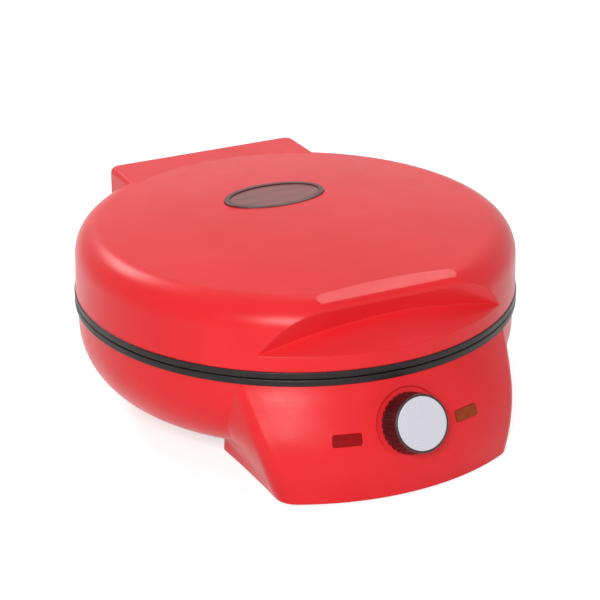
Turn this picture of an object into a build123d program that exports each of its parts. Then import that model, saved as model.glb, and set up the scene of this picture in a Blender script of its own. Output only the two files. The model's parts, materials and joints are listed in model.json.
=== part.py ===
from build123d import *
import math
import os

# Electric pizza maker: a round clamshell cooker. The base bowl carries the control housing at the
# front and the hinge tower at the rear; the domed lid swings up about a level axis at the rear.
# Sizes are in millimetres. The model is built about the axis of the round body, with X to the
# right, -Y to the front and Z up from the table, and is moved to the middle of its length at the end.

# Round body
rim_radius = 168.0          # outer radius of the base bowl at the plates
parting_z = 90.0            # height of the plane between the two plates
parting_gap = 0.6           # air between the closed plates
shell_wall = 2.6            # thickness of the moulded housings
running_gap = 0.3           # air between loose neighbours
weld_bite = 0.5             # how far one form of a moulding runs into the next

# Cooking plates
flange_thickness = 5.2      # edge of each plate, the dark band between the housings
flange_proud = 2.4          # how far that edge stands out of the bowl
flange_edge_fillet = 1.0
plate_thickness = 3.0       # floor of each plate
rim_width = 26.0            # from the edge of the flat cooking floor to the bowl's rim
cavity_draft = 4.0          # how much wider the cavity is at its mouth
cavity_depth = 10.0         # depth of each plate
cavity_fillet = 3.5
mouth_fillet = 1.5
hinge_flat_margin = 6.0     # flange left behind the cavity where it is cut straight for the hinge
plate_screw_margin = 11.0   # plate screws stand this far inside the edge of the cooking floor

# Base bowl
bowl_floor_z = 17.0         # underside of the bowl above the table
bowl_turn_radius = 53.0     # round turn between the bowl's upright side and its floor
skirt_z = 1.5               # lower edge of the housing's skirts above the table

# Control housing at the front of the base
panel_reach = 22.5          # how far the foot stands out in front of the bowl's rim
panel_lean = 23.0           # degrees that the panel leans back above the foot
panel_knee = 8.0            # softness of the turn between the foot and the leaning panel
panel_proud = 0.5           # the panel stands this far out of the bowl under the plate
panel_half_width = 95.0     # at the foot
panel_top_flare = 17.5      # extra half width right under the plate
panel_flare_power = 0.6     # under 1 the flare comes low on the flanks
panel_flare_start_z = 4.0
panel_corner_radius = 17.0
control_depth = 120.5       # from the foot's front to the housing's rear wall, under the bowl
flank_bury = 10.7           # the flanks end this far inside the bowl's rim
flank_start_z = 10.0
flank_end_z = 60.0
flank_hollow = 0.10         # depth of the flanks' hollow curve, as a share of their spread
flank_least_hollow = 1.0    # depth of that curve at the sole
housing_levels = 9          # level sections that shape the control housing above its sole

# Rear tower of the base
tower_half_width = 76.0
tower_proud = 5.0           # how far the tower stands out behind the rim
tower_depth = 73.0
tower_drop = 18.0           # top of the tower below the parting plane
tower_corner_radius = 14.0
tower_top_fillet = 5.0

# Rotary control
dial_z = 52.3               # height of the dial's middle on the panel
dial_recess_radius = 26.5
dial_recess_depth = 2.4
dial_pad_radius = 29.0
dial_pad_thickness = 3.0
knob_radius = 22.6
knob_face_radius = 21.2
knob_depth = 19.0
knob_wall = 2.2
knob_face_thickness = 3.6
knob_edge_fillet = 1.0
knob_grooves = 30
knob_groove_radius = 1.1
knob_groove_offset = 0.3    # the grooves' axis outside the skirt, as a share of their radius
knob_groove_stop = 2.5      # plain band left between the grooves and the face
knob_lift = 0.8             # air between the knob's skirt and the dial recess
knob_hub_radius = 6.0
knob_hub_gap = 2.0          # air between the hub and the thermostat's nut
knob_cap_radius = 19.4
knob_cap_thickness = 1.8
knob_cap_proud = 0.4
pointer_width = 2.2
pointer_height = 0.8
pointer_margin = 1.5        # pointer's ends to the cap's middle and edge
shaft_radius = 3.0
shaft_flat = 1.0            # depth of the flat that drives the knob
shaft_fit = 0.05            # running clearance of the shaft, radial
bush_radius = 4.5
bush_stand = 1.0            # how far the bush stands out of its nut
nut_radius = 7.0
nut_thickness = 2.6
thermostat_width = 30.0
thermostat_height = 24.0
thermostat_depth = 16.0
thermostat_edge = 2.0

# Indicator windows
lamp_angle = 15.4           # degrees round the body on each side of the dial
lamp_z = 47.5
lens_width = 21.0
lens_height = 8.4
lens_proud = 0.9
lens_corner_radius = 1.5
lens_edge_fillet = 0.6
lens_depth = 4.2            # depth of the lens's inner flange below the panel's face
lens_flange_lap = 2.0
lens_flange_thickness = 1.5
lamp_radius = 3.0
lamp_length = 15.0
lamp_play = 0.2             # air at each end of a lamp
holder_wall = 3.0
holder_depth = 10.0

# Lid
lid_proud = 1.6             # how far the lid's lower edge stands out of the bowl's rim
lid_side_draft = 1.5        # degrees
lid_height = 63.0           # top of the dome above the parting plane
dome_radius = 1640.0
shoulder_radius = 23.0
housing_half_width = 83.0   # hinge housing at the rear of the lid
housing_front_y = 60.0
housing_proud = 6.0         # how far it stands out behind the bowl's rim
housing_drop = 6.5          # its top below the top of the dome
housing_corner_radius = 8.0
housing_top_fillet = 5.0

# Lid handle: a straight brow over a finger recess
crease_setback = 32.0       # start of the slope above the brow, behind the lid's edge
brow_setback = 16.5         # front of the brow before it is rounded, behind the lid's edge
brow_slope = 22.0           # degrees
brow_radius = 5.0
recess_lean = 26.0          # degrees that the recess's back wall overhangs
ramp_edge_rise = 11.5       # outer edge of the ramp under the recess, above the lid's lower edge
ramp_slope = 32.0           # degrees
cut_margin = 60.0           # how far the handle's cutting forms run out of the lid

# Badge place on the lid, bare
badge_y = 36.0
badge_length = 83.0
badge_width = 49.0
badge_border = 4.0
badge_edge_fillet = 0.8
badge_height = 2.2
badge_sink = 0.5            # depth of its seat below the lid's lowest edge round it
badge_plate_drop = 0.8      # the plate lies this far below the frame's top

# Hinge
pivot_setback = 6.0         # axis of the hinge inside the bowl's rim
pivot_rise = 3.0            # and above the parting plane
pin_radius = 3.0
pin_fit = 0.05              # running clearance of the pins, radial
pin_head_radius = 4.6
pin_head_thickness = 1.5
knuckle_radius = 7.5
knuckle_inner_x = 40.0      # inner end of the three knuckles on each side
knuckle_width = 11.0
knuckle_gap = 0.5
ear_rear_reach = 4.5        # how far the knuckles' webs stand behind the axis
hinge_plate_thickness = 2.0
hinge_plate_margin = 2.0    # plate beyond the base's knuckles
lid_plate_reach = 11.5      # how far the lid's bracket runs in front of the axis
hinge_plate_rise = 10.5     # underside of the lid's bracket above the axis
rear_wall_rise = 10.0       # lower edge of the lid's rear wall above the axis
bracket_screw_x = 25.0
bracket_screw_setback = 2.0 # in front of the axis

# Screws and bosses
screw_radius = 1.9
screw_head_radius = 3.6
screw_head_height = 1.8
screw_head_fillet = 0.8
screw_length = 14.0
screw_play = 0.1            # air round a screw's shank, radial
plate_screw_sink = 0.2      # heads lie this far below the cooking floor
boss_radius = 5.0
boss_bite = 0.6             # how far a boss beside a wall runs into it
boss_spare = 6.0            # boss beyond the screw's end
rib_thickness = 2.4

# Heating
heater_inset = 47.0         # heater's ring inside the edge of the cooking floor
heater_tube_radius = 3.3
heater_gap_angle = 34.0     # opening of the ring, at the rear
heater_bend_radius = 8.0
heater_tail = 6.0
heater_pin_radius = 1.5
heater_pin_length = 8.0
heater_seat_gap = 0.1
reflector_inset = 20.0      # reflector's edge inside the edge of the cooking floor
reflector_lip = 6.0
reflector_depth = 10.0
reflector_thickness = 0.8
reflector_slope_width = 8.0
reflector_hole_play = 1.5
fuse_radius = 2.2
fuse_length = 14.0
fuse_place = (-40.0, 20.0)
lead_radius = 1.2
lead_bend_radius = 8.0

# Underside
floor_opening_inset = 15.0  # opening of the bowl's floor inside its flat part
floor_cover_lap = 8.0
floor_screw_angles = (30, 150, 210, 330)
floor_cover_thickness = 1.2
vent_slots = 12
vent_slot_length = 26.0
vent_slot_width = 4.0
vent_circle = 60.0
bay_cover_z = 3.5
bay_cover_thickness = 2.0
foot_pad_radius = 8.0
foot_pad_taper = 0.8
foot_side_setback = 23.0    # foot pads inside the housings' sides
front_foot_setback = 40.0   # and behind the control housing's front
rear_foot_setback = 25.0    # and in front of the tower's rear
front_boss_setback = 32.0   # cover bosses behind the control housing's front corners
back_boss_setback = 14.0    # and in front of its rear wall
tower_boss_setback = 18.0   # cover bosses inside the tower's front and rear
terminal_block_size = (34.0, 16.0, 12.0)
terminal_block_setback = 28.0   # behind the tower's front
terminal_count = 3
terminal_pitch = 10.0
terminal_bore_radius = 2.2
terminal_bore_depth = 5.0

# Leads
lead_rise = 10.0            # straight run from a pin before the first bend
lead_clearance = 30.0       # last bend of the thermostat's lead behind the thermostat
lid_lead_x = 12.0
lid_lead_steps = ((30.0, 6.0), (14.0, -6.0), (2.0, -6.0))    # in front of the axis, above the pins

# Cord inlet
gland_x = 45.0
gland_z = 30.0
gland_bore_radius = 3.9
gland_neck_radius = 6.4
gland_flange_radius = 9.0
gland_flange_thickness = 2.0
gland_edge_fillet = 0.8

# Run of a cutting form past what it cuts
past = 1.0
far_past = 20.0

# Places that follow from the sizes above
half_gap = parting_gap / 2
base_rim_z = parting_z - half_gap - flange_thickness
lid_rim_z = parting_z + half_gap + flange_thickness
lower_floor_z = parting_z - half_gap - cavity_depth
plate_underside_z = lower_floor_z - plate_thickness
flange_radius = rim_radius + flange_proud
cavity_radius = rim_radius - rim_width
hinge_flat_y = cavity_radius + cavity_draft + hinge_flat_margin
plate_screw_circle = cavity_radius - plate_screw_margin
bowl_floor_radius = rim_radius - bowl_turn_radius
panel_foot_radius = rim_radius + panel_reach
housing_back_y = control_depth - panel_foot_radius
flank_spread = math.sqrt(rim_radius ** 2 - housing_back_y ** 2) - flank_bury - panel_half_width
tower_rear_y = rim_radius + tower_proud
tower_front_y = tower_rear_y - tower_depth
tower_top_z = parting_z - tower_drop
lid_edge_radius = rim_radius + lid_proud
lid_top_z = parting_z + lid_height
dome_centre_z = lid_top_z - dome_radius
housing_rear_y = rim_radius + housing_proud
housing_top_z = lid_top_z - housing_drop
crease_y = crease_setback - lid_edge_radius
brow_y = brow_setback - lid_edge_radius
ramp_edge_z = lid_rim_z + ramp_edge_rise
pivot_y = rim_radius - pivot_setback
pivot_z = parting_z + pivot_rise
heater_ring_radius = cavity_radius - heater_inset
reflector_radius = cavity_radius - reflector_inset
floor_opening_radius = bowl_floor_radius - floor_opening_inset
floor_cover_radius = floor_opening_radius + floor_cover_lap
terminal_block_y = tower_front_y + terminal_block_setback
plate_screw_seat_z = lower_floor_z - screw_head_height - plate_screw_sink
corner_angles = (45, 135, 225, 315)
parts = {}


def sine(angle):
    return math.sin(math.radians(angle))


def cosine(angle):
    return math.cos(math.radians(angle))


def tangent(angle):
    return math.tan(math.radians(angle))


def disc(radius, low, high):
    """Upright cylinder about the body's axis between two heights."""
    return Pos(0, 0, low) * Cylinder(radius, high - low, align=(Align.CENTER, Align.CENTER, Align.MIN))


def post(x, y, radius, low, high):
    return Pos(x, y, 0) * disc(radius, low, high)


def block(x, y, z):
    """Box between pairs of limits."""
    size = (x[1] - x[0], y[1] - y[0], z[1] - z[0])
    return Pos((x[0] + x[1]) / 2, (y[0] + y[1]) / 2, (z[0] + z[1]) / 2) * Box(*size)


def ease(value):
    """Smooth step from 0 to 1."""
    value = min(max(value, 0.0), 1.0)
    return value * value * (3 - 2 * value)


def turned(*points):
    """Solid of revolution about the body's axis from radius and height pairs."""
    return revolve(make_face(Plane.XZ * Polyline(*points, close=True)), Axis.Z)


def mirrored(solid):
    """The upper copy of something that lies on the lower plate."""
    return mirror(solid, about=Plane.XY.offset(parting_z))


def on_circle(radius, angle):
    return radius * cosine(angle), radius * sine(angle)


# Base housing


def bowl(inset):
    """Solid bowl, its wall moved inwards by inset: flat floor, round turn and upright side."""
    centre_z = bowl_floor_z + bowl_turn_radius
    floor = Line((0, bowl_floor_z + inset), (bowl_floor_radius, bowl_floor_z + inset))
    turn = CenterArc((bowl_floor_radius, centre_z), bowl_turn_radius - inset, -90, 90)
    rest = Polyline(turn @ 1, (rim_radius - inset, base_rim_z), (0, base_rim_z), floor @ 0)
    return revolve(make_face(Plane.XZ * (floor + turn + rest)), Axis.Z)


def panel_radius(z):
    """Reach of the control panel's face: upright at the foot, then a soft knee and a straight lean."""
    leaning = rim_radius + panel_proud + (base_rim_z - z) * tangent(panel_lean)
    share = max(panel_knee - abs(leaning - panel_foot_radius), 0) / panel_knee
    return min(leaning, panel_foot_radius) - share * share * panel_knee / 4


def housing_section(z, inset):
    """Level section of the control housing."""
    share = max(z - panel_flare_start_z, 0) / (base_rim_z - panel_flare_start_z)
    flare = panel_top_flare * share ** panel_flare_power
    half = panel_half_width + flare - inset
    front = panel_radius(z) - inset
    spread = flank_spread * ease((z - flank_start_z) / (flank_end_z - flank_start_z))
    back = panel_half_width + spread - inset
    back_y = housing_back_y - inset
    corner_y = -math.sqrt(front * front - half * half)
    hollow = flank_least_hollow + flank_hollow * spread
    middle = ((half + back) / 2 - hollow, (corner_y + back_y) / 2)
    right_flank = ThreePointArc((back, back_y), middle, (half, corner_y))
    face = ThreePointArc((half, corner_y), (0, -front), (-half, corner_y))
    left_flank = ThreePointArc((-half, corner_y), (-middle[0], middle[1]), (-back, back_y))
    section = make_face(right_flank + face + left_flank + Line((-back, back_y), (back, back_y)))
    corners = section.vertices().sort_by(Axis.Y)[:2]
    return Pos(0, 0, z) * fillet(corners, panel_corner_radius - inset)


def control_housing(inset):
    step = (base_rim_z - flank_start_z) / (housing_levels - 1)
    heights = [skirt_z - inset] + [flank_start_z + i * step for i in range(housing_levels)]
    return loft([housing_section(z, inset) for z in heights])


def tower(inset):
    """Rear tower, its wall moved inwards by inset; it is open below."""
    half = tower_half_width - inset
    depth = tower_rear_y - tower_front_y - 2 * inset
    plan = Pos(0, (tower_front_y + tower_rear_y) / 2) * RectangleRounded(
        2 * half, depth, tower_corner_radius - inset)
    low = skirt_z - inset
    solid = Pos(0, 0, low) * extrude(plan, tower_top_z - inset - low)
    return fillet(solid.edges().group_by(Axis.Z)[-1], tower_top_fillet)


def cover_boss_places():
    """Middles of the bosses that carry the two bay covers, beside the walls."""
    front_x = panel_half_width - flank_least_hollow - shell_wall - boss_radius + boss_bite
    rear_x = tower_half_width - shell_wall - boss_radius + boss_bite
    corner_y = -math.sqrt(panel_foot_radius ** 2 - panel_half_width ** 2)
    front_y = (corner_y + front_boss_setback, housing_back_y - back_boss_setback)
    rear_y = (tower_front_y + tower_boss_setback, tower_rear_y - tower_boss_setback)
    front = [(side * front_x, y) for side in (-1, 1) for y in front_y]
    rear = [(side * rear_x, y) for side in (-1, 1) for y in rear_y]
    return front, rear


def dial_axis():
    """Plane on the floor of the dial recess, facing out of the panel along the knob's axis."""
    outward = Vector(0, -cosine(panel_lean), sine(panel_lean))
    surface = Vector(0, -panel_radius(dial_z), dial_z)
    return Plane(surface - outward * dial_recess_depth, x_dir=(1, 0, 0), z_dir=outward)


def lens_plane(side):
    """Plane on the panel's face at an indicator window, facing outwards."""
    angle = side * lamp_angle
    level = Vector(sine(angle), -cosine(angle), 0)
    outward = level * cosine(panel_lean) + Vector(0, 0, sine(panel_lean))
    point = level * panel_radius(lamp_z) + Vector(0, 0, lamp_z)
    return Plane(point, x_dir=(cosine(angle), sine(angle), 0), z_dir=outward)


def build_base_shell():
    outer = bowl(0) + control_housing(0) + tower(0)
    shell = outer - bowl(shell_wall) - control_housing(shell_wall) - tower(shell_wall)
    opening_y = (housing_back_y + floor_cover_lap, tower_front_y - floor_cover_lap)
    reach = 2 * floor_opening_radius
    window = disc(floor_opening_radius, 0, bowl_floor_z + 2 * shell_wall)
    window &= block((-reach, reach), opening_y, (0, bowl_floor_z + 2 * shell_wall))
    shell -= window
    # Bosses for the lower plate, each on a rib that runs out to the wall
    for angle in corner_angles:
        x, y = on_circle(plate_screw_circle, angle)
        rib = Rot(0, 0, angle) * block((plate_screw_circle, rim_radius),
                                       (-rib_thickness / 2, rib_thickness / 2),
                                       (bowl_floor_z, plate_underside_z - reflector_depth))
        shell += (post(x, y, boss_radius, bowl_floor_z, plate_underside_z) + rib) & bowl(2 * weld_bite)
    front, rear = cover_boss_places()
    cover_top = bay_cover_z + bay_cover_thickness
    boss_top = cover_top + screw_length + boss_spare
    for x, y in rear:
        shell += post(x, y, boss_radius, cover_top, boss_top)
    for x, y in front:
        side = math.copysign(1, x)
        rib = block(sorted((x, side * (panel_half_width + panel_top_flare))),
                    (y - rib_thickness / 2, y + rib_thickness / 2), (cover_top, boss_top))
        shell += (post(x, y, boss_radius, cover_top, boss_top) + rib) & control_housing(2 * weld_bite)
    # Deck that carries the hinge bracket, inside the rim
    deck_y = cavity_radius + cavity_draft + plate_thickness + running_gap
    deck = block((-tower_half_width, tower_half_width), (deck_y, rim_radius),
                 (base_rim_z - 2 * shell_wall, base_rim_z))
    shell += deck & bowl(weld_bite)
    shell += bracket_bosses(base_rim_z - 2 * shell_wall - screw_length, base_rim_z) & bowl(weld_bite)
    # Pad behind the dial, the dial's recess and the hole for the thermostat's bush
    dial = dial_axis()
    pad = disc(dial_pad_radius, -dial_pad_thickness, dial_recess_depth)
    shell += (dial * pad) & control_housing(weld_bite)
    shell -= dial * disc(dial_recess_radius, 0, far_past)
    shell -= dial * disc(bush_radius + screw_play, -far_past, past)
    # Windows for the two indicators
    for side in (-1, 1):
        hole = RectangleRounded(lens_width + running_gap, lens_height + running_gap, lens_corner_radius)
        shell -= lens_plane(side) * (Pos(0, 0, -lens_depth) * extrude(hole, 2 * lens_depth))
    # Screw holes and the hole for the cord gland
    depth = screw_length + past
    for angle in corner_angles:
        x, y = on_circle(plate_screw_circle, angle)
        shell -= post(x, y, screw_radius + screw_play, plate_underside_z - depth, plate_underside_z)
    for x, y in front + rear:
        shell -= post(x, y, screw_radius + screw_play, cover_top, cover_top + depth)
    for x, y in bracket_screw_places():
        shell -= post(x, y, screw_radius + screw_play, base_rim_z - depth, base_rim_z)
    for x, y in floor_screw_places():
        shell -= post(x, y, screw_radius + screw_play, 0, bowl_floor_z + 2 * shell_wall)
    hole = Plane((gland_x, tower_rear_y, gland_z), z_dir=(0, -1, 0))
    shell -= hole * disc(gland_neck_radius + screw_play, -past, shell_wall + past)
    return shell


def floor_screw_places():
    middle = (floor_opening_radius + floor_cover_radius) / 2
    return [on_circle(middle, angle) for angle in floor_screw_angles]


def build_floor_cover():
    z = (bowl_floor_z - floor_cover_thickness, bowl_floor_z)
    reach = 2 * floor_cover_radius
    cover = disc(floor_cover_radius, *z) & block(
        (-reach, reach), (housing_back_y + running_gap, tower_front_y - running_gap), z)
    slot = extrude(SlotOverall(vent_slot_length, vent_slot_width), floor_cover_thickness)
    slot = Pos(vent_circle - vent_slot_length / 2, 0, z[0]) * slot
    for turn in range(vent_slots):
        cover -= Rot(0, 0, turn * 360 / vent_slots) * slot
    for x, y in floor_screw_places():
        cover -= post(x, y, screw_radius + screw_play, *z)
    return cover


def build_bay_covers():
    top = bay_cover_z + bay_cover_thickness
    front_cover = control_housing(shell_wall + running_gap) & block(
        (-panel_foot_radius, panel_foot_radius), (-panel_foot_radius, 0), (bay_cover_z, top))
    rear_cover = tower(shell_wall + running_gap) & block(
        (-tower_half_width, tower_half_width), (tower_front_y, tower_rear_y), (bay_cover_z, top))
    front, rear = cover_boss_places()
    for x, y in front:
        front_cover -= post(x, y, screw_radius + screw_play, bay_cover_z, top)
    for x, y in rear:
        rear_cover -= post(x, y, screw_radius + screw_play, bay_cover_z, top)
    return front_cover, rear_cover


def foot_pads(x, y):
    pad = Cone(foot_pad_radius - foot_pad_taper, foot_pad_radius, bay_cover_z,
               align=(Align.CENTER, Align.CENTER, Align.MIN))
    return Compound([Pos(side * x, y, 0) * pad for side in (-1, 1)])


def screw():
    """Screw with its head's seat at the origin, pointing down."""
    head = disc(screw_head_radius, 0, screw_head_height)
    head = fillet(head.edges().group_by(Axis.Z)[-1], screw_head_fillet)
    return disc(screw_radius, -screw_length, 0) + head


def screws(places, seat_z, pointing_up=False):
    turn = Rot(180, 0, 0) if pointing_up else Rot(0, 0, 0)
    return Compound([Pos(x, y, seat_z) * turn * screw() for x, y in places])


# Cooking plates and heating


def build_lower_plate():
    mouth = cavity_radius + cavity_draft
    face = make_face(Plane.XZ * Polyline(
        (0, plate_underside_z), (cavity_radius + plate_thickness, plate_underside_z),
        (mouth + plate_thickness, base_rim_z), (flange_radius, base_rim_z),
        (flange_radius, parting_z - half_gap), (mouth, parting_z - half_gap),
        (cavity_radius, lower_floor_z), (0, lower_floor_z), close=True))
    corners = face.vertices()
    face = fillet([v for v in corners if abs(v.X - cavity_radius) < 0.1], cavity_fillet)
    face = fillet([v for v in face.vertices() if abs(v.X - mouth) < 0.1], mouth_fillet)
    face = fillet([v for v in face.vertices() if abs(v.X - flange_radius) < 0.1], flange_edge_fillet)
    plate = revolve(face, Axis.Z)
    plate -= block((-flange_radius, flange_radius), (hinge_flat_y, flange_radius + past),
                   (plate_underside_z - past, parting_z))
    for angle in corner_angles:
        x, y = on_circle(plate_screw_circle, angle)
        plate -= post(x, y, screw_head_radius + screw_play, plate_screw_seat_z, parting_z)
        plate -= post(x, y, screw_radius + screw_play, plate_underside_z - past, parting_z)
    return plate


def build_plate_screws():
    places = [on_circle(plate_screw_circle, angle) for angle in corner_angles]
    return screws(places, plate_screw_seat_z)


def heater_path():
    """Open ring with both ends turned down."""
    z = plate_underside_z - heater_seat_gap - heater_tube_radius
    start = 90 + heater_gap_angle / 2
    ring = Pos(0, 0, z) * CenterArc((0, 0), heater_ring_radius, start, 360 - heater_gap_angle)
    edges = [ring]
    for point, away in ((ring @ 0, (ring % 0) * -1), (ring @ 1, ring % 1)):
        upright = Plane(point, x_dir=away, z_dir=away.cross(Vector(0, 0, 1)))
        bend = upright * CenterArc((0, -heater_bend_radius), heater_bend_radius, 90, -90)
        tail = upright * Line((heater_bend_radius, -heater_bend_radius),
                              (heater_bend_radius, -heater_bend_radius - heater_tail))
        edges += [bend, tail]
    return edges


def build_lower_heater():
    edges = heater_path()
    wire = Wire([edge.edge() for edge in edges])
    section = Plane(wire @ 0, z_dir=wire % 0) * Circle(heater_tube_radius)
    solids = [sweep(section, path=wire).solid()]
    for end in heater_ends():
        pin = post(end.X, end.Y, heater_pin_radius, end.Z, end.Z + heater_pin_length)
        solids.append(pin.solid())
    return Compound(solids)


def heater_ends():
    """Lower ends of the heater's terminal pins."""
    edges = heater_path()
    return [edge @ 1 - Vector(0, 0, heater_pin_length) for edge in (edges[2], edges[4])]


def build_lower_reflector():
    top, low = plate_underside_z, plate_underside_z - reflector_depth
    slope_in = reflector_radius - reflector_lip
    floor_radius = slope_in - reflector_slope_width
    t = reflector_thickness
    dish = turned((0, low), (floor_radius, low), (slope_in + t / 2, top - t), (reflector_radius, top - t),
                  (reflector_radius, top), (slope_in - t / 2, top), (floor_radius - t / 2, low + t),
                  (0, low + t))
    for end in heater_ends():
        dish -= post(end.X, end.Y, heater_tube_radius + reflector_hole_play, low - past, low + past)
    return dish


def build_thermal_fuse():
    z = plate_underside_z - reflector_depth - fuse_radius - heater_seat_gap
    return Pos(*fuse_place, z) * Rot(0, 90, 0) * Cylinder(fuse_radius, fuse_length)


# Control group


def build_thermostat():
    """Body behind the panel, with the bush that passes through it."""
    body = Box(thermostat_width, thermostat_height, thermostat_depth,
               align=(Align.CENTER, Align.CENTER, Align.MAX))
    body = Pos(0, 0, -dial_pad_thickness) * fillet(body.edges().filter_by(Axis.Z), thermostat_edge)
    body += disc(bush_radius, -dial_pad_thickness, nut_thickness + bush_stand)
    body -= disc(shaft_radius + shaft_fit, -dial_pad_thickness - thermostat_depth / 2, far_past)
    return dial_axis() * body


def build_thermostat_nut():
    nut = extrude(RegularPolygon(nut_radius, 6), nut_thickness)
    return dial_axis() * (nut - disc(bush_radius + shaft_fit, -past, nut_thickness + past))


def build_shaft():
    """Turning shaft with a flat at the knob's end."""
    length = knob_lift + knob_depth - knob_face_thickness - running_gap
    shaft = disc(shaft_radius, running_gap - dial_pad_thickness - thermostat_depth / 2, length)
    flat = block((-far_past, far_past), (shaft_radius - shaft_flat, far_past),
                 (nut_thickness + knob_hub_gap, 2 * far_past))
    return dial_axis() * (shaft - flat)


def build_knob():
    low, top = knob_lift, knob_lift + knob_depth
    inner_top = top - knob_face_thickness
    outline = Polyline((0, low), (knob_radius, low), (knob_face_radius, top), (0, top), close=True)
    outer = make_face(Plane.XZ * outline)
    face_edge = [v for v in outer.vertices() if v.X > knob_hub_radius and v.Z > low + past]
    knob = revolve(fillet(face_edge, knob_edge_fillet), Axis.Z)
    knob -= turned((0, low - past), (knob_radius - knob_wall, low - past),
                   (knob_face_radius - knob_wall, inner_top), (0, inner_top))
    hub_low = nut_thickness + knob_hub_gap
    knob += disc(knob_hub_radius, hub_low, inner_top)
    bore = disc(shaft_radius + shaft_fit, hub_low - past, inner_top - shaft_fit)
    flat_y = shaft_radius - shaft_flat + shaft_fit
    bore -= block((-far_past, far_past), (flat_y, far_past), (0, 2 * far_past))
    knob -= bore
    knob -= disc(knob_cap_radius + 2 * screw_play, top - knob_cap_thickness, top + past)
    lean = math.degrees(math.atan((knob_radius - knob_face_radius) / knob_depth))
    groove_x = knob_radius + knob_groove_radius * knob_groove_offset
    groove = disc(knob_groove_radius, -past, knob_depth - knob_groove_stop)
    groove = Pos(groove_x, 0, low) * Rot(0, -lean, 0) * groove
    for turn in range(knob_grooves):
        knob -= Rot(0, 0, turn * 360 / knob_grooves) * groove
    return dial_axis() * knob


def build_knob_cap():
    """Inset disc with the raised pointer."""
    top = knob_lift + knob_depth
    cap = disc(knob_cap_radius, top - knob_cap_thickness, top + knob_cap_proud)
    cap = fillet(cap.edges().group_by(Axis.Z)[-1], knob_cap_proud)
    pointer = SlotOverall(knob_cap_radius - 2 * pointer_margin, pointer_width, rotation=90)
    pointer = Pos(0, knob_cap_radius / 2, top) * extrude(pointer, knob_cap_proud + pointer_height)
    return dial_axis() * (cap + pointer)


def build_lens(side):
    face = RectangleRounded(lens_width, lens_height, lens_corner_radius)
    lens = Pos(0, 0, -lens_depth) * extrude(face, lens_depth + lens_proud)
    lens = fillet(lens.edges().group_by(Axis.Z)[-1], lens_edge_fillet)
    flange = RectangleRounded(lens_width + 2 * lens_flange_lap, lens_height + 2 * lens_flange_lap,
                              lens_corner_radius)
    lens += Pos(0, 0, -lens_depth - lens_flange_thickness) * extrude(flange, lens_flange_thickness)
    return lens_plane(side) * lens


def lamp_axis_depth():
    return -lens_depth - lens_flange_thickness - lamp_radius - running_gap


def build_lamps():
    lamp = Pos(0, 0, lamp_axis_depth()) * Rot(0, 90, 0) * Cylinder(lamp_radius, lamp_length)
    return Compound([lens_plane(side) * lamp for side in (-1, 1)])


def build_lamp_holders():
    """Clips that hold the lamps against the lenses."""
    top = -lens_depth - lens_flange_thickness
    half_length = lamp_length / 2 + lamp_play
    half_width = lamp_radius + screw_play
    holder = block((-half_length - holder_wall, half_length + holder_wall),
                   (-half_width - holder_wall, half_width + holder_wall), (top - holder_depth, top))
    pocket = Pos(0, 0, lamp_axis_depth()) * Rot(0, 90, 0) * Cylinder(half_width, 2 * half_length)
    channel = block((-half_length, half_length), (-half_width, half_width),
                    (lamp_axis_depth(), top + past))
    return Compound([lens_plane(side) * (holder - pocket - channel) for side in (-1, 1)])


# Lid


def dome(inset):
    """Domed lid as a solid, its wall moved inwards by inset."""
    low_radius = lid_edge_radius - inset
    height = lid_top_z - lid_rim_z
    section = make_face(Polyline(
        (0, lid_rim_z), (low_radius, lid_rim_z),
        (low_radius - height * tangent(lid_side_draft), lid_top_z), (0, lid_top_z), close=True))
    section &= Pos(0, dome_centre_z) * Circle(dome_radius - inset)
    shoulder = section.vertices().sort_by_distance((low_radius, lid_top_z))[0]
    return revolve(Plane.XZ * fillet(shoulder, shoulder_radius - inset), Axis.Z)


def hinge_housing(inset, low):
    half = housing_half_width - inset
    rear = housing_rear_y - inset
    top = housing_top_z - inset
    solid = block((-half, half), (housing_front_y, rear), (low, top))
    solid = fillet(solid.edges().filter_by(Axis.Z).sort_by(Axis.Y)[-2:], housing_corner_radius - inset)
    top_edges = solid.edges().group_by(Axis.Z)[-1]
    outer_edges = top_edges.filter_by(lambda e: e.center().Y > housing_front_y + 1)
    return fillet(outer_edges, housing_top_fillet - inset / 2)


def handle_cut(inset):
    """What the brow and the finger recess take from the dome, grown by inset."""
    crease_z = lid_top_z - crease_y * crease_y / (2 * dome_radius)
    slope = tangent(brow_slope)
    brow_z = crease_z + slope * (brow_y - crease_y)
    low_z = lid_rim_z
    back_y = brow_y + (brow_z - low_z) * tangent(recess_lean)
    far, near = brow_y - cut_margin, crease_y + cut_margin / 2
    outline = make_face(Plane.YZ * Polyline(
        (near, crease_z + slope * (near - crease_y)), (brow_y, brow_z), (back_y, low_z), (far, low_z),
        (far, crease_z + cut_margin), (near, crease_z + cut_margin), close=True))
    brow = outline.vertices().sort_by_distance((0, brow_y, brow_z))[0]
    outline = fillet(brow, brow_radius)
    if inset:
        outline = offset(outline, inset, kind=Kind.INTERSECTION)
    cut = extrude(outline, lid_edge_radius, both=True)
    # The ramp under the recess stays, so that the lid keeps its full round edge
    rise = tangent(ramp_slope)
    edge_z = ramp_edge_z - inset / cosine(ramp_slope)
    inner, outer = lid_edge_radius - cut_margin, lid_edge_radius + cut_margin
    ramp = turned((inner, low_z - cut_margin), (outer, low_z - cut_margin),
                  (outer, edge_z - cut_margin * rise), (inner, edge_z + cut_margin * rise))
    return cut - ramp


def bracket_screw_places():
    return [(side * bracket_screw_x, pivot_y - bracket_screw_setback) for side in (-1, 1)]


def bracket_bosses(low, high):
    bosses = [post(x, y, boss_radius, low, high) for x, y in bracket_screw_places()]
    return bosses[0] + bosses[1]


def badge_floor_z():
    rear = badge_y + badge_width / 2
    return lid_top_z - rear * rear / (2 * dome_radius) - badge_sink


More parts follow.
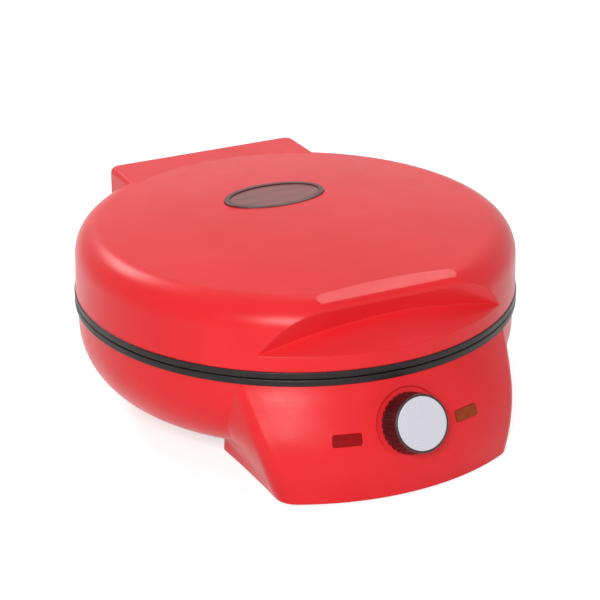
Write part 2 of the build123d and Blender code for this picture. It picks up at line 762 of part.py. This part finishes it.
def badge_oval(shrink, low, high):
    oval = Pos(0, badge_y, low) * Ellipse(badge_length / 2 - shrink, badge_width / 2 - shrink)
    return extrude(oval, high - low)


def build_lid_shell():
    wall_low = pivot_z + rear_wall_rise
    outer = dome(0) + hinge_housing(0, wall_low) - handle_cut(0)
    inner = dome(shell_wall) - handle_cut(shell_wall) + hinge_housing(shell_wall, lid_rim_z - past)
    shell = outer - inner
    upper_seat = 2 * parting_z - plate_underside_z
    bracket_top = pivot_z + hinge_plate_rise + hinge_plate_thickness
    for angle in corner_angles:
        x, y = on_circle(plate_screw_circle, angle)
        shell += post(x, y, boss_radius, upper_seat, lid_top_z) & dome(2 * weld_bite)
        shell -= post(x, y, screw_radius + screw_play, upper_seat, upper_seat + screw_length + past)
    shell += bracket_bosses(bracket_top, housing_top_z - 2 * weld_bite)
    for x, y in bracket_screw_places():
        shell -= post(x, y, screw_radius + screw_play, bracket_top, bracket_top + screw_length + past)
    return shell - badge_oval(-screw_play, badge_floor_z(), lid_top_z + past)


def build_badge_frame():
    low = badge_floor_z()
    frame = badge_oval(0, low, low + badge_height)
    frame = fillet(frame.edges().group_by(Axis.Z)[-1], badge_edge_fillet)
    return frame - badge_oval(badge_border, low - past, low + badge_height + past)


def build_badge_plate():
    low = badge_floor_z()
    return badge_oval(badge_border + screw_play, low, low + badge_height - badge_plate_drop)


# Hinge


def knuckle_spans():
    """Lid, base and lid knuckle along X on the right-hand side."""
    step = knuckle_width + knuckle_gap
    return [(knuckle_inner_x + i * step, knuckle_inner_x + i * step + knuckle_width) for i in range(3)]


def along_x(radius, x, clearance=0.0):
    rod = Cylinder(radius + clearance, x[1] - x[0])
    return Pos((x[0] + x[1]) / 2, pivot_y, pivot_z) * Rot(0, 90, 0) * rod


def knuckle(x, web_z):
    """Eye on the axis with a web to its plate."""
    web = block(x, (pivot_y - knuckle_radius, pivot_y + ear_rear_reach),
                (min(web_z, pivot_z), max(web_z, pivot_z)))
    eye = along_x(knuckle_radius, x) + web
    return eye - along_x(pin_radius, (x[0] - past, x[1] + past), pin_fit)


def build_base_bracket():
    spans = knuckle_spans()
    top = base_rim_z + hinge_plate_thickness
    half = spans[1][1] + hinge_plate_margin
    plate = block((-half, half), (hinge_flat_y + running_gap, pivot_y + ear_rear_reach),
                  (base_rim_z, top))
    # The plate is notched under the lid's knuckles, which turn just above it
    for side in (-1, 1):
        x = sorted((side * (spans[0][0] - knuckle_gap), side * (spans[1][0] - knuckle_gap / 2)))
        notch = (pivot_y - knuckle_radius, pivot_y + knuckle_radius)
        plate -= block(x, notch, (base_rim_z, top))
        outer_x = sorted((side * (spans[1][1] + knuckle_gap / 2), side * (half + past)))
        plate -= block(outer_x, notch, (base_rim_z, top))
        plate += knuckle(sorted((side * spans[1][0], side * spans[1][1])), base_rim_z)
    for x, y in bracket_screw_places():
        plate -= post(x, y, screw_radius + screw_play, base_rim_z, top)
    return plate


def build_lid_bracket():
    spans = knuckle_spans()
    low = pivot_z + hinge_plate_rise
    top = low + hinge_plate_thickness
    half = spans[2][1]
    rear = housing_rear_y - shell_wall - running_gap
    plate = block((-half, half), (pivot_y - lid_plate_reach, rear), (low, top))
    for side in (-1, 1):
        for span in (spans[0], spans[2]):
            plate += knuckle(sorted((side * span[0], side * span[1])), top)
    for x, y in bracket_screw_places():
        plate -= post(x, y, screw_radius + screw_play, low, top)
    return plate


def build_hinge_pins():
    spans = knuckle_spans()
    x = (spans[0][0] - past, spans[2][1] + running_gap)
    pins = []
    for side in (-1, 1):
        pin = along_x(pin_radius, sorted((side * x[0], side * x[1])))
        head = sorted((side * x[1], side * (x[1] + pin_head_thickness)))
        pins.append(pin + along_x(pin_head_radius, head))
    return Compound(pins)


# Inlet, terminals and leads


def build_gland():
    outside = Plane((gland_x, tower_rear_y, gland_z), z_dir=(0, -1, 0))
    gland = disc(gland_neck_radius, -gland_flange_thickness, shell_wall + gland_flange_thickness)
    outer_flange = disc(gland_flange_radius, -gland_flange_thickness, 0)
    gland += fillet(outer_flange.edges().group_by(Axis.Z)[0], gland_edge_fillet)
    gland += disc(gland_flange_radius, shell_wall, shell_wall + gland_flange_thickness)
    return outside * (gland - disc(gland_bore_radius, -far_past, far_past))


def build_terminal_block():
    length, depth, height = terminal_block_size
    body = Pos(0, terminal_block_y, bay_cover_z + bay_cover_thickness) * Box(
        length, depth, height, align=(Align.CENTER, Align.CENTER, Align.MIN))
    top = bay_cover_z + bay_cover_thickness + height
    for i in range(terminal_count):
        x = (i - (terminal_count - 1) / 2) * terminal_pitch
        for y in (terminal_block_y - depth / 4, terminal_block_y + depth / 4):
            body -= post(x, y, terminal_bore_radius, top - terminal_bore_depth, top)
    return body


def lead(*points):
    """Insulated lead along straight runs with rounded corners."""
    path = FilletPolyline(*points, radius=lead_bend_radius)
    return sweep(Plane(path @ 0, z_dir=path % 0) * Circle(lead_radius), path=path).solid()


def build_base_wiring():
    """Leads from the terminal block to the heater and to the thermostat."""
    depth, height = terminal_block_size[1:]
    start_z = bay_cover_z + bay_cover_thickness + height - terminal_bore_depth + running_gap
    front_y = terminal_block_y - depth / 4
    leads = []
    for end, side in zip(heater_ends(), (-1, 1)):
        x, level = side * terminal_pitch, end.Z - 2 * lead_bend_radius
        leads.append(lead((x, front_y, start_z), (x, front_y, level), (end.X, end.Y, level),
                          tuple(end)))
    axis = dial_axis()
    back = axis.origin - axis.z_dir * (dial_pad_thickness + thermostat_depth + running_gap)
    turn = back - axis.z_dir * lead_clearance
    level = bowl_floor_z + 2 * lead_bend_radius
    leads.append(lead((0, front_y, start_z), (0, front_y, level), tuple(turn), tuple(back)))
    return Compound(leads)


def build_lid_wiring():
    """Leads from the upper heater's pins to the hinge housing."""
    leads = []
    for end, side in zip(heater_ends(), (-1, 1)):
        z = 2 * parting_z - end.Z
        steps = [(side * lid_lead_x, pivot_y - setback, z + rise) for setback, rise in lid_lead_steps]
        leads.append(lead((end.X, end.Y, z), (end.X, end.Y, z + lead_rise), *steps))
    return Compound(leads)


# Assembly

parts["base_shell"] = build_base_shell()
parts["floor_cover"] = build_floor_cover()
parts["control_bay_cover"], parts["rear_bay_cover"] = build_bay_covers()
front_bosses, rear_bosses = cover_boss_places()
parts["floor_cover_screws"] = screws(floor_screw_places(), bowl_floor_z - floor_cover_thickness, True)
parts["bay_cover_screws"] = screws(front_bosses + rear_bosses, bay_cover_z, True)
parts["front_feet"] = foot_pads(panel_half_width - foot_side_setback,
                                front_foot_setback - panel_foot_radius)
parts["rear_feet"] = foot_pads(tower_half_width - foot_side_setback, tower_rear_y - rear_foot_setback)
parts["lower_plate"] = build_lower_plate()
parts["lower_plate_screws"] = build_plate_screws()
parts["lower_heater"] = build_lower_heater()
parts["lower_reflector"] = build_lower_reflector()
parts["thermal_fuse"] = build_thermal_fuse()
parts["thermostat_body"] = build_thermostat()
parts["thermostat_nut"] = build_thermostat_nut()
parts["power_light_lens"] = build_lens(-1)
parts["ready_light_lens"] = build_lens(1)
parts["indicator_lamps"] = build_lamps()
parts["lamp_holders"] = build_lamp_holders()
parts["terminal_block"] = build_terminal_block()
parts["cord_gland"] = build_gland()
parts["base_wiring"] = build_base_wiring()
parts["base_hinge_bracket"] = build_base_bracket()
parts["base_bracket_screws"] = screws(bracket_screw_places(), base_rim_z + hinge_plate_thickness)
parts["hinge_pins"] = build_hinge_pins()

parts["lid_shell"] = build_lid_shell()
parts["badge_frame"] = build_badge_frame()
parts["badge_plate"] = build_badge_plate()
parts["upper_plate"] = mirrored(parts["lower_plate"])
parts["upper_plate_screws"] = mirrored(parts["lower_plate_screws"])
parts["upper_heater"] = mirrored(parts["lower_heater"])
parts["upper_reflector"] = mirrored(parts["lower_reflector"])
parts["lid_wiring"] = build_lid_wiring()
parts["lid_hinge_bracket"] = build_lid_bracket()
parts["lid_bracket_screws"] = screws(bracket_screw_places(), pivot_z + hinge_plate_rise, True)

parts["control_knob"] = build_knob()
parts["knob_cap"] = build_knob_cap()
parts["thermostat_shaft"] = build_shaft()

# The finished model stands on the middle of its own length
os.makedirs("parts", exist_ok=True)
box = Compound([solid for part in parts.values() for solid in part.solids()]).bounding_box()
to_middle = Pos(-(box.min.X + box.max.X) / 2, -(box.min.Y + box.max.Y) / 2, -box.min.Z)
for name, part in parts.items():
    export_step(Compound((to_middle * part).solids()), f"parts/{name}.step")

dial = to_middle * dial_axis().location
print("overall size", box.size)
print("hinge axis at", round(pivot_y + to_middle.position.Y, 4), pivot_z)
print("knob axis through", dial.position, "tilt", panel_lean)
gland_mouth_y = tower_rear_y + gland_flange_thickness + to_middle.position.Y
print("gland mouth at", gland_x, round(gland_mouth_y, 4), gland_z)
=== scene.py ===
"""Looks of the electric pizza maker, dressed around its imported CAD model.

Metres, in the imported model's frame: +Z up, -Y towards the user, +Y towards the hinge.
"""
import json
import math

import bpy
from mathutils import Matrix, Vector


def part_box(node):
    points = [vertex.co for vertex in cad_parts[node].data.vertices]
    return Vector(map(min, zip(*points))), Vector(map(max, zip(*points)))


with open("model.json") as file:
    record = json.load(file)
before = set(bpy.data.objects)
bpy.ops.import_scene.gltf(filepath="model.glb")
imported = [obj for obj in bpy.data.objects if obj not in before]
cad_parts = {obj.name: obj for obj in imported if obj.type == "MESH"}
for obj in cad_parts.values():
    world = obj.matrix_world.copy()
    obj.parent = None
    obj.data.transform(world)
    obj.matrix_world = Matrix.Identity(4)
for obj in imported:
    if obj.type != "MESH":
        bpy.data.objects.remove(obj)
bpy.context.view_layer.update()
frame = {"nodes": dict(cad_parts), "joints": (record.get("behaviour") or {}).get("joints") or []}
nodes = frame["nodes"]

# Middle of the round body: the plates' edge is round but for the part behind the hinge
plate_low, plate_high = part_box("lower_plate")
body_centre = Vector((0, plate_low[1] + (plate_high[0] - plate_low[0]) / 2, 0))

# Camera: its place and lens were fitted to the outline in the photograph
aim = body_centre + Vector((0.0032, -0.0016, 0.0777))
camera_distance = 1.700
camera_elevation = math.radians(23.45)
camera_azimuth = math.radians(27.05)     # to the left of the front
lens_mm = 131.2
sensor_mm = 36.0
view_reach = 50.0                        # metres

# Lamps face the middle of the body
lamp_target = Vector((0, 0, 0.08))

# Dial axis, as it leaves the panel
dial_joint = next(joint for joint in frame["joints"] if joint["name"] == "knob_turn")
dial_centre = dial_joint["pos_m"]
dial_tilt = math.asin(-dial_joint["axis"][2])


def linear(red, green, blue):
    """Colour for a shader from the three 0-255 values that a screen shows."""
    def channel(value):
        value /= 255
        return value / 12.92 if value <= 0.04045 else ((value + 0.055) / 1.055) ** 2.4
    return (channel(red), channel(green), channel(blue), 1.0)


class Finish:
    """A material under construction: its node tree, its main shader and the nodes added to it."""

    def __init__(self, name, metallic=0.0):
        self.material = bpy.data.materials.new(name)
        self.material.use_nodes = True
        self.tree = self.material.node_tree
        self.shader = self.tree.nodes["Principled BSDF"]
        self.set("Metallic", metallic)

    def set(self, socket, value):
        self.shader.inputs[socket].default_value = value

    def add(self, kind, **settings):
        node = self.tree.nodes.new(kind)
        for name, value in settings.items():
            setattr(node, name, value)
        return node

    def link(self, start, end):
        self.tree.links.new(start, end)

    def place(self, stretch=(1, 1, 1), turn=(0, 0, 0), centre=(0, 0, 0)):
        """Coordinates on the piece in metres, measured from centre along axes turned by turn."""
        source = self.add("ShaderNodeTexCoord")
        moved = self.add("ShaderNodeMapping", vector_type="TEXTURE")
        moved.inputs["Location"].default_value = centre
        moved.inputs["Rotation"].default_value = turn
        scaled = self.add("ShaderNodeMapping")
        scaled.inputs["Scale"].default_value = stretch
        self.link(source.outputs["Object"], moved.inputs["Vector"])
        self.link(moved.outputs["Vector"], scaled.inputs["Vector"])
        return scaled.outputs["Vector"]

    def noise(self, grain, detail=2.0, **where):
        """Noise whose patches are grain metres across."""
        texture = self.add("ShaderNodeTexNoise")
        texture.inputs["Scale"].default_value = 1 / grain
        texture.inputs["Detail"].default_value = detail
        self.link(self.place(**where), texture.inputs["Vector"])
        return texture.outputs["Fac"]

    def rings(self, pitch, uneven=0.2, **where):
        """Concentric turning marks around the local Z axis, pitch metres apart."""
        texture = self.add("ShaderNodeTexWave", wave_type="RINGS", rings_direction="Z")
        pitch_at_scale_1 = math.tau / 20
        texture.inputs["Scale"].default_value = pitch_at_scale_1 / pitch
        texture.inputs["Distortion"].default_value = uneven
        self.link(self.place(**where), texture.inputs["Vector"])
        return texture.outputs["Fac"]

    def ramp(self, factor, colours, low=0.3, high=0.7):
        """Colours the base by factor, from the first colour at low to the last at high."""
        ramp = self.add("ShaderNodeValToRGB")
        elements = ramp.color_ramp.elements
        for _ in colours[2:]:
            elements.new(0.5)
        for index, colour in enumerate(colours):
            elements[index].position = low + (high - low) * index / (len(colours) - 1)
            elements[index].color = colour
        self.link(factor, ramp.inputs["Fac"])
        self.link(ramp.outputs["Color"], self.shader.inputs["Base Color"])

    def vary_roughness(self, factor, low, high):
        """Roughness that goes from low to high where factor goes from 0.3 to 0.7."""
        spread = self.add("ShaderNodeMapRange")
        spread.inputs["From Min"].default_value = 0.3
        spread.inputs["From Max"].default_value = 0.7
        spread.inputs["To Min"].default_value = low
        spread.inputs["To Max"].default_value = high
        self.link(factor, spread.inputs["Value"])
        self.link(spread.outputs["Result"], self.shader.inputs["Roughness"])

    def soft_edges(self, radius):
        """Normals that turn over each edge within radius metres, as on a moulding."""
        node = self.add("ShaderNodeBevel", samples=6)
        node.inputs["Radius"].default_value = radius
        return node.outputs["Normal"]

    def bump(self, height, depth, strength=1.0, below=None):
        """Raises the surface by height times depth metres, on top of the normals below."""
        node = self.add("ShaderNodeBump")
        node.inputs["Strength"].default_value = strength
        node.inputs["Distance"].default_value = depth
        self.link(height, node.inputs["Height"])
        if below:
            self.link(below, node.inputs["Normal"])
        self.link(node.outputs["Normal"], self.shader.inputs["Normal"])


def dress(material, *names):
    """Gives CAD nodes their material."""
    for name in names:
        mesh = nodes[name].data
        mesh.materials.clear()
        mesh.materials.append(material)


# Materials

def gloss_red():
    """Cherry red moulded plastic with a faint orange peel."""
    finish = Finish("gloss_red_plastic")
    finish.ramp(finish.noise(grain=0.06), [linear(222, 36, 42), linear(228, 43, 48)])
    finish.vary_roughness(finish.noise(grain=0.018), 0.29, 0.34)
    finish.bump(finish.noise(grain=0.0035), depth=0.00004, below=finish.soft_edges(radius=0.0015))
    finish.set("Specular IOR Level", 0.2)
    return finish.material


def grained_black():
    """Black plastic with a fine spark-eroded grain."""
    finish = Finish("grained_black_plastic")
    finish.ramp(finish.noise(grain=0.03), [linear(24, 24, 26), linear(34, 34, 36)])
    finish.vary_roughness(finish.noise(grain=0.01), 0.45, 0.6)
    finish.bump(finish.noise(grain=0.0012), depth=0.00012)
    return finish.material


def coated_pan():
    """Black non-stick coating with a pale speckle."""
    finish = Finish("non_stick_coating")
    finish.set("Specular IOR Level", 0.3)
    finish.ramp(finish.noise(grain=0.0016),
                [linear(20, 13, 13), linear(27, 18, 17), linear(62, 52, 50)], low=0.4, high=0.86)
    finish.vary_roughness(finish.noise(grain=0.03), 0.36, 0.5)
    finish.bump(finish.noise(grain=0.0022), depth=0.00006)
    return finish.material


def metal(name, dark, light, roughness, grain=0.004, stretch=(1, 1, 1)):
    """Plain metal: streaks where stretch draws the grain out along an axis."""
    finish = Finish(name, metallic=1.0)
    streaks = finish.noise(grain=grain, detail=4.0, stretch=stretch)
    finish.ramp(streaks, [dark, light])
    finish.vary_roughness(streaks, roughness - 0.05, roughness + 0.08)
    finish.bump(streaks, depth=0.00002)
    return finish.material


def heat_tinted():
    """Steel tube that has turned brown and blue with heat."""
    finish = Finish("heat_tinted_steel", metallic=1.0)
    finish.ramp(finish.noise(grain=0.02, detail=3.0),
                [linear(88, 78, 72), linear(112, 96, 78), linear(82, 84, 98)])
    finish.vary_roughness(finish.noise(grain=0.004), 0.36, 0.56)
    finish.bump(finish.noise(grain=0.0008), depth=0.00004)
    return finish.material


def plain(name, dark, light, roughness, grain=0.004, depth=0.00004):
    """Moulded plastic, rubber or ceramic with a soft unevenness."""
    finish = Finish(name)
    finish.ramp(finish.noise(grain=0.02), [dark, light])
    finish.vary_roughness(finish.noise(grain=0.01), roughness - 0.05, roughness + 0.08)
    finish.bump(finish.noise(grain=grain), depth)
    return finish.material


def clear(name, dark, light, transmission, roughness, shine=0.5):
    """Tinted see-through plastic or glass."""
    finish = Finish(name)
    finish.set("Specular IOR Level", shine)
    finish.set("Transmission Weight", transmission)
    finish.set("IOR", 1.49)
    finish.ramp(finish.noise(grain=0.006), [dark, light])
    finish.vary_roughness(finish.noise(grain=0.004), roughness, roughness + 0.08)
    finish.bump(finish.noise(grain=0.002), depth=0.00003)
    return finish.material


def spun_silver():
    """Silver dial face with fine turning marks around its axis."""
    finish = Finish("spun_silver", metallic=0.2)
    marks = finish.rings(pitch=0.0011, centre=dial_centre, turn=(math.pi / 2 - dial_tilt, 0, 0))
    finish.ramp(marks, [linear(192, 191, 200), linear(216, 215, 224)], low=0.1, high=0.9)
    finish.vary_roughness(finish.noise(grain=0.006), 0.46, 0.56)
    finish.bump(marks, depth=0.00001, strength=0.4)
    return finish.material


dress(gloss_red(), "lid_shell", "base_shell")
dress(grained_black(), "floor_cover", "control_bay_cover", "rear_bay_cover", "cord_gland")
dress(coated_pan(), "lower_plate", "upper_plate")
dress(heat_tinted(), "lower_heater", "upper_heater")
dress(spun_silver(), "knob_cap")
dress(metal("zinc_plate", linear(150, 151, 156), linear(196, 197, 200), roughness=0.34, grain=0.002),
      "floor_cover_screws", "bay_cover_screws", "lower_plate_screws", "upper_plate_screws",
      "base_bracket_screws", "lid_bracket_screws")
dress(metal("pressed_steel", linear(140, 141, 146), linear(180, 181, 185), roughness=0.38,
            stretch=(0.12, 1, 1)),
      "base_hinge_bracket", "lid_hinge_bracket")
dress(metal("turned_steel", linear(160, 161, 165), linear(205, 206, 208), roughness=0.34,
            grain=0.0012, stretch=(1, 0.1, 0.1)),
      "hinge_pins", "thermostat_shaft")
dress(metal("rolled_aluminium", linear(186, 188, 190), linear(222, 223, 224), roughness=0.34,
            stretch=(0.06, 1, 1)),
      "lower_reflector", "upper_reflector")
dress(metal("fuse_case", linear(170, 168, 160), linear(200, 198, 190), roughness=0.4),
      "thermal_fuse")
dress(metal("plain_brass", linear(176, 140, 72), linear(206, 172, 98), roughness=0.34, grain=0.002),
      "thermostat_nut")
dress(metal("bare_badge", linear(122, 80, 78), linear(144, 98, 95), roughness=0.42,
            grain=0.003, stretch=(0.08, 1, 1)),
      "badge_plate")
dress(plain("dark_badge_rim", linear(66, 24, 28), linear(82, 30, 34), roughness=0.35),
      "badge_frame")
# Knob grip: dark plastic whose deep red tint is partly painted shade on the knob's side and partly a
# painted reflection of the red panel.
dress(plain("dark_grip_painted_shade", linear(46, 12, 16), linear(58, 17, 21), roughness=0.35, grain=0.002),
      "control_knob")
dress(plain("foot_rubber", linear(26, 26, 26), linear(38, 38, 38), roughness=0.75),
      "front_feet", "rear_feet")
dress(plain("cream_thermoset", linear(205, 198, 178), linear(222, 215, 196), roughness=0.5),
      "thermostat_body")
dress(plain("white_nylon", linear(216, 216, 210), linear(232, 232, 228), roughness=0.45),
      "terminal_block", "lamp_holders")
dress(plain("fibre_sleeve", linear(214, 210, 196), linear(232, 229, 218), roughness=0.7,
            grain=0.0009, depth=0.0002),
      "base_wiring", "lid_wiring")
dress(clear("red_window", linear(140, 3, 8), linear(156, 6, 12), transmission=0.1, roughness=0.3,
            shine=0.08),
      "power_light_lens")
dress(clear("olive_window", linear(146, 58, 26), linear(164, 70, 32), transmission=0.1,
            roughness=0.3, shine=0.08),
      "ready_light_lens")
dress(clear("neon_glass", linear(236, 214, 190), linear(246, 232, 214), transmission=0.85,
            roughness=0.05),
      "indicator_lamps")


# Stage

def floor_material(name, colour, lift):
    """Pale matt surface that reads as white to the camera and in reflections, and still takes a shadow."""
    finish = Finish(name)
    finish.set("Base Color", colour)
    finish.set("Roughness", 0.9)
    finish.set("Specular IOR Level", 0.0)
    strength = finish.add("ShaderNodeMath", operation="MULTIPLY")
    strength.inputs[1].default_value = lift
    glow = finish.add("ShaderNodeEmission")
    both = finish.add("ShaderNodeAddShader")
    finish.link(seen_directly(finish.tree), strength.inputs[0])
    finish.link(strength.outputs[0], glow.inputs["Strength"])
    finish.link(finish.shader.outputs[0], both.inputs[0])
    finish.link(glow.outputs[0], both.inputs[1])
    finish.link(both.outputs[0], finish.tree.nodes["Material Output"].inputs["Surface"])
    return finish.material


def seen_directly(tree):
    """1 for rays from the camera, off gloss or through glass, 0 for the light that falls on things."""
    path = tree.nodes.new("ShaderNodeLightPath")
    total = path.outputs["Is Camera Ray"]
    for name in ("Is Glossy Ray", "Is Transmission Ray"):
        either = tree.nodes.new("ShaderNodeMath")
        either.operation = "MAXIMUM"
        tree.links.new(total, either.inputs[0])
        tree.links.new(path.outputs[name], either.inputs[1])
        total = either.outputs[0]
    return total


def build_floor(half_width, colour, lift):
    corners = [(-half_width, -half_width, 0), (half_width, -half_width, 0),
               (half_width, half_width, 0), (-half_width, half_width, 0)]
    mesh = bpy.data.meshes.new("floor")
    mesh.from_pydata(corners, [], [(0, 1, 2, 3)])
    mesh.materials.append(floor_material("pale_floor", colour, lift))
    floor = bpy.data.objects.new("floor", mesh)
    bpy.context.scene.collection.objects.link(floor)


def build_world(fill):
    """White surroundings, which light the object only by the strength fill."""
    world = bpy.data.worlds.new("surroundings")
    bpy.context.scene.world = world
    world.use_nodes = True
    tree = world.node_tree
    background = tree.nodes["Background"]
    background.inputs["Color"].default_value = (1, 1, 1, 1)
    spread = tree.nodes.new("ShaderNodeMapRange")
    spread.inputs["To Min"].default_value = fill
    spread.inputs["To Max"].default_value = 1.0
    tree.links.new(seen_directly(tree), spread.inputs["Value"])
    tree.links.new(spread.outputs["Result"], background.inputs["Strength"])


def soft_box(name, place, width, height, watts):
    """Rectangular area lamp at place, facing lamp_target."""
    lamp = bpy.data.lights.new(name, "AREA")
    lamp.shape = "RECTANGLE"
    lamp.size = width
    lamp.size_y = height
    lamp.energy = watts
    holder = bpy.data.objects.new(name, lamp)
    holder.location = place
    holder.rotation_euler = (lamp_target - Vector(place)).to_track_quat("-Z", "Y").to_euler()
    bpy.context.scene.collection.objects.link(holder)


def build_camera():
    direction = Vector((-math.sin(camera_azimuth) * math.cos(camera_elevation),
                        -math.cos(camera_azimuth) * math.cos(camera_elevation),
                        math.sin(camera_elevation)))
    data = bpy.data.cameras.new("camera")
    data.lens = lens_mm
    data.sensor_width = sensor_mm
    data.sensor_fit = "HORIZONTAL"
    data.clip_end = view_reach
    camera = bpy.data.objects.new("camera", data)
    camera.location = aim + direction * camera_distance
    camera.rotation_euler = (-direction).to_track_quat("-Z", "Y").to_euler()
    bpy.context.scene.collection.objects.link(camera)
    bpy.context.scene.camera = camera


build_floor(half_width=1.4, colour=linear(222, 222, 222), lift=0.6)
build_world(fill=0.25)
soft_box("key", place=(-1.0, -1.6, 1.1), width=0.7, height=0.7, watts=33)
soft_box("back", place=(-0.45, 1.3, 1.25), width=0.7, height=0.35, watts=12)
soft_box("top", place=(0.9, 0.6, 1.7), width=0.6, height=0.45, watts=9)
build_camera()
bpy.context.scene.view_settings.view_transform = "Standard"
